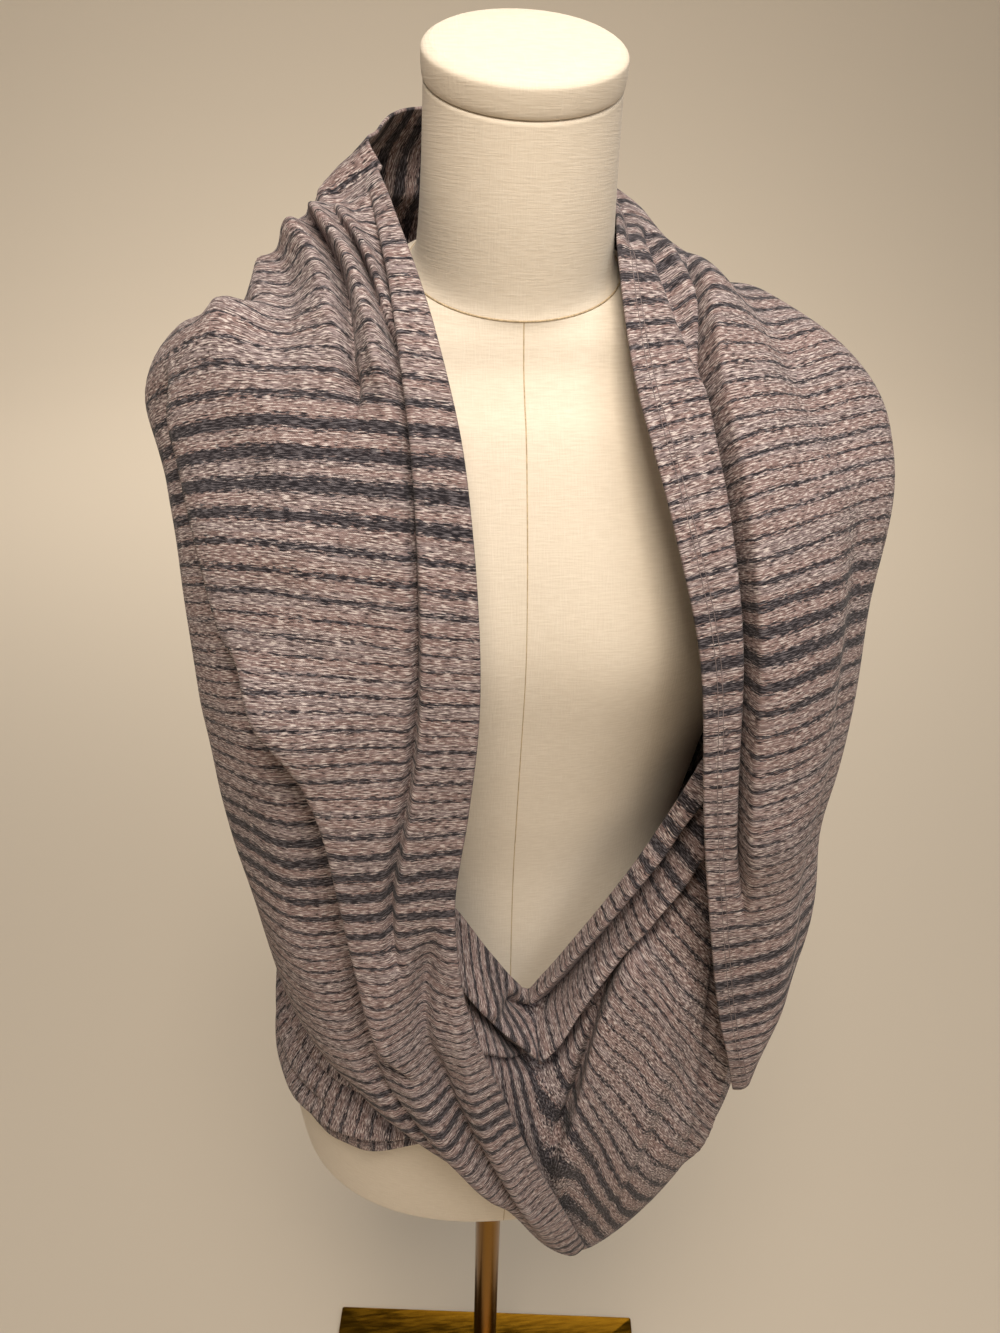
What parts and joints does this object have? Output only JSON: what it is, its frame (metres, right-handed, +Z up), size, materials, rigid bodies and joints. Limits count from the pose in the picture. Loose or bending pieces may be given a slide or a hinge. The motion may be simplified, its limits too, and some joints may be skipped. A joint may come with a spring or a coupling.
{
  "type": "infinity scarf on a dress form",
  "caption": "Striped jersey infinity scarf looped round the neck and hips of a limbless linen dress form on a gold pole stand with a flat plate.",
  "frame": {"origin": "centre of the pole on the underside of the base plate", "axes": "+Z up along the pole, the form faces -Y, +X to the form's left"},
  "size_m": [0.4369, 0.3603, 1.5146],
  "materials": {
    "gold": "polished",
    "linen": "matte",
    "jersey": "matte"
  },
  "bodies": {
    "root": {"base_plate": "gold", "pole": "gold", "torso": "linen", "neck": "linen", "neck_cap": "linen", "scarf_front_left": "jersey", "scarf_neck_back": "jersey", "scarf_front_right": "jersey", "scarf_cowl": "jersey", "scarf_back_wrap": "jersey", "scarf_hip_wrap": "jersey"}
  },
  "joints": []
}
